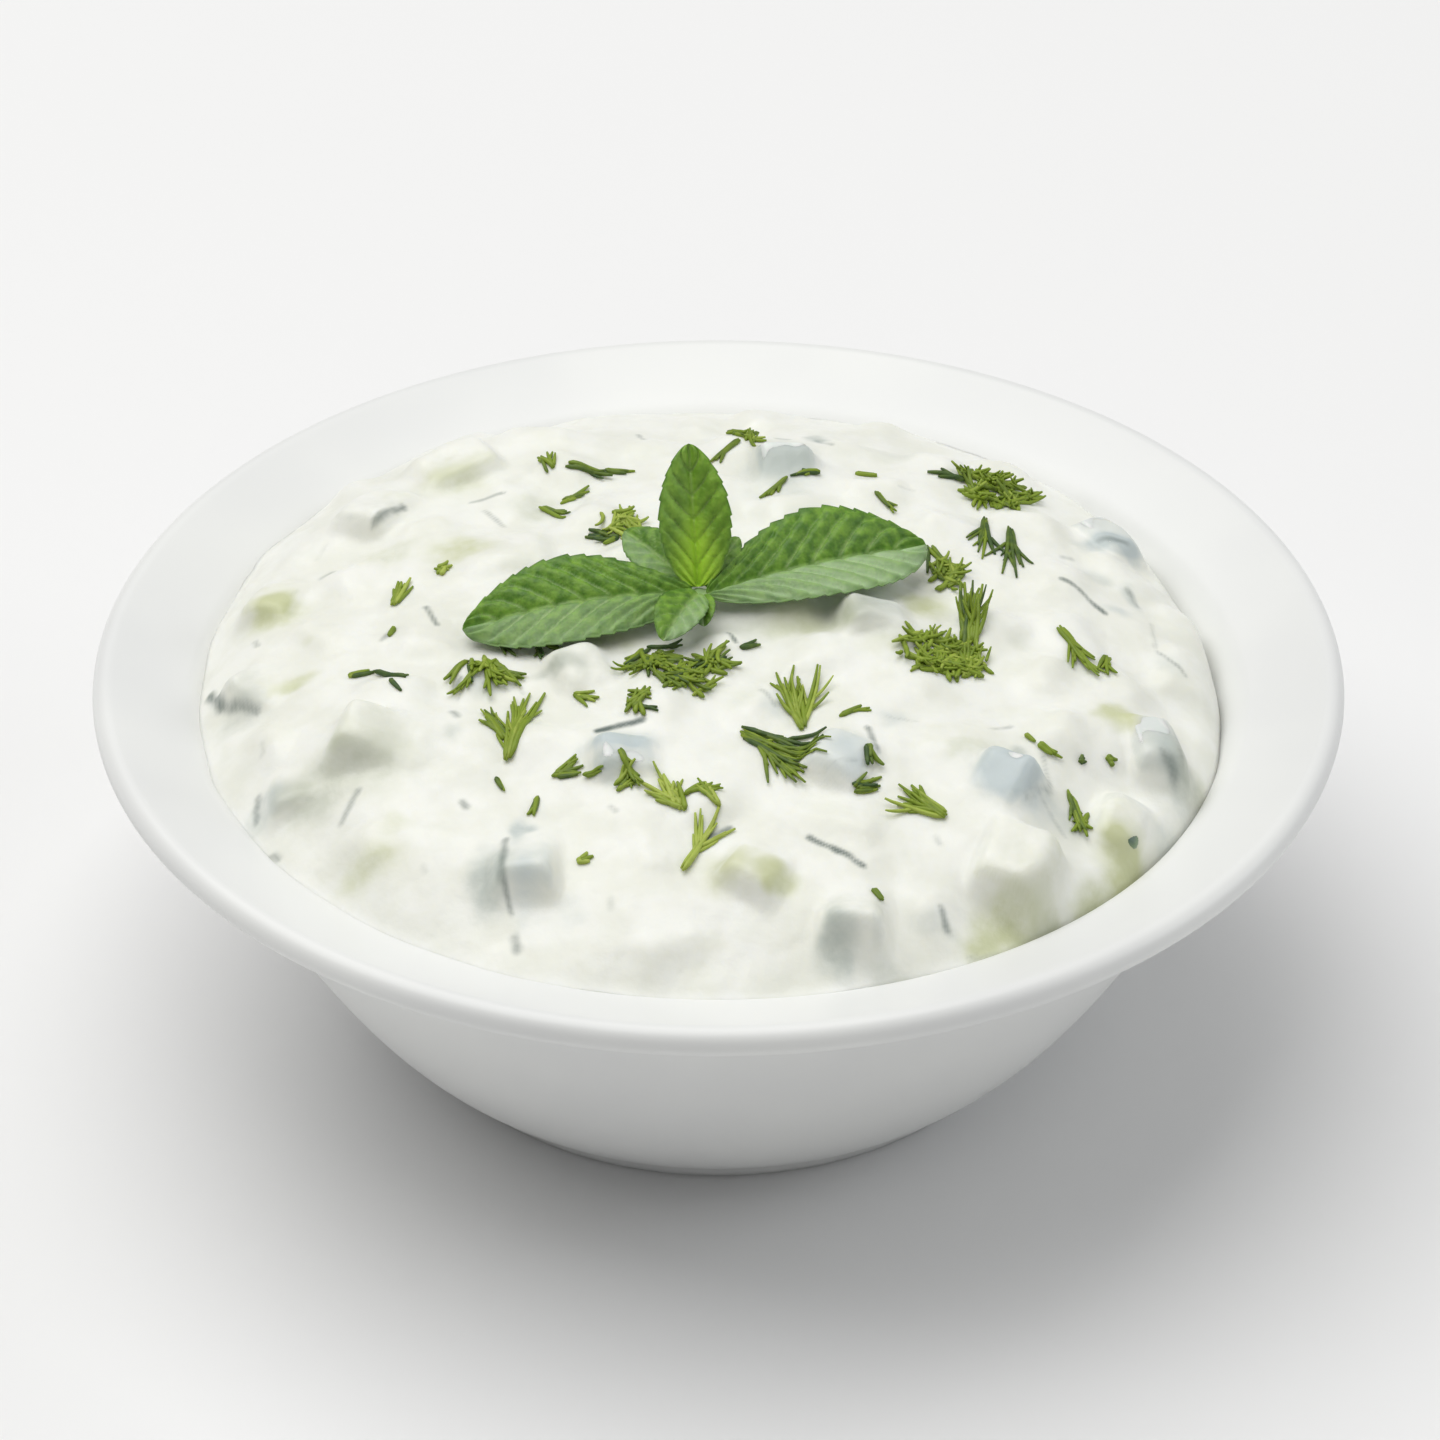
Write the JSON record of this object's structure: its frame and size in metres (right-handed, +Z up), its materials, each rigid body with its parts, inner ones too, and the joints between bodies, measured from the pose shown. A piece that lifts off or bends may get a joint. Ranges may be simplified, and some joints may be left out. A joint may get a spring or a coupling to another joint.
{
  "type": "bowl of tzatziki",
  "caption": "Thick yoghurt and cucumber dip heaped in a round white porcelain bowl with a broad sloping rim, topped with chopped dill and a mint sprig.",
  "frame": {"origin": "centre of the foot ring, on the surface that the bowl stands on", "axes": "+Z up through the middle of the bowl, +X to the right and +Y away from the viewer, who faces the mint sprig with its long leaves to left and right"},
  "size_m": [0.16, 0.16, 0.0792],
  "materials": {
    "porcelain": "smooth white glaze with a soft gloss",
    "yoghurt_dip": "thick strained yoghurt, wet satin, warm white with a green cast where it is thin over cucumber",
    "cucumber": "wet translucent pale green flesh with a dark green skin",
    "mint": "fresh leaf, satin, dark on top with paler veins"
  },
  "bodies": {
    "root": {"bowl": "porcelain", "tzatziki": "yoghurt_dip", "mint_sprig": "mint", "cucumber_01": "cucumber", "cucumber_02": "cucumber", "cucumber_03": "cucumber", "cucumber_04": "cucumber", "cucumber_05": "cucumber", "cucumber_06": "cucumber", "cucumber_07": "cucumber", "cucumber_08": "cucumber", "cucumber_09": "cucumber", "cucumber_10": "cucumber", "cucumber_11": "cucumber", "cucumber_12": "cucumber", "cucumber_13": "cucumber", "cucumber_14": "cucumber", "cucumber_15": "cucumber", "cucumber_16": "cucumber", "cucumber_17": "cucumber", "cucumber_18": "cucumber", "cucumber_19": "cucumber"}
  },
  "joints": []
}
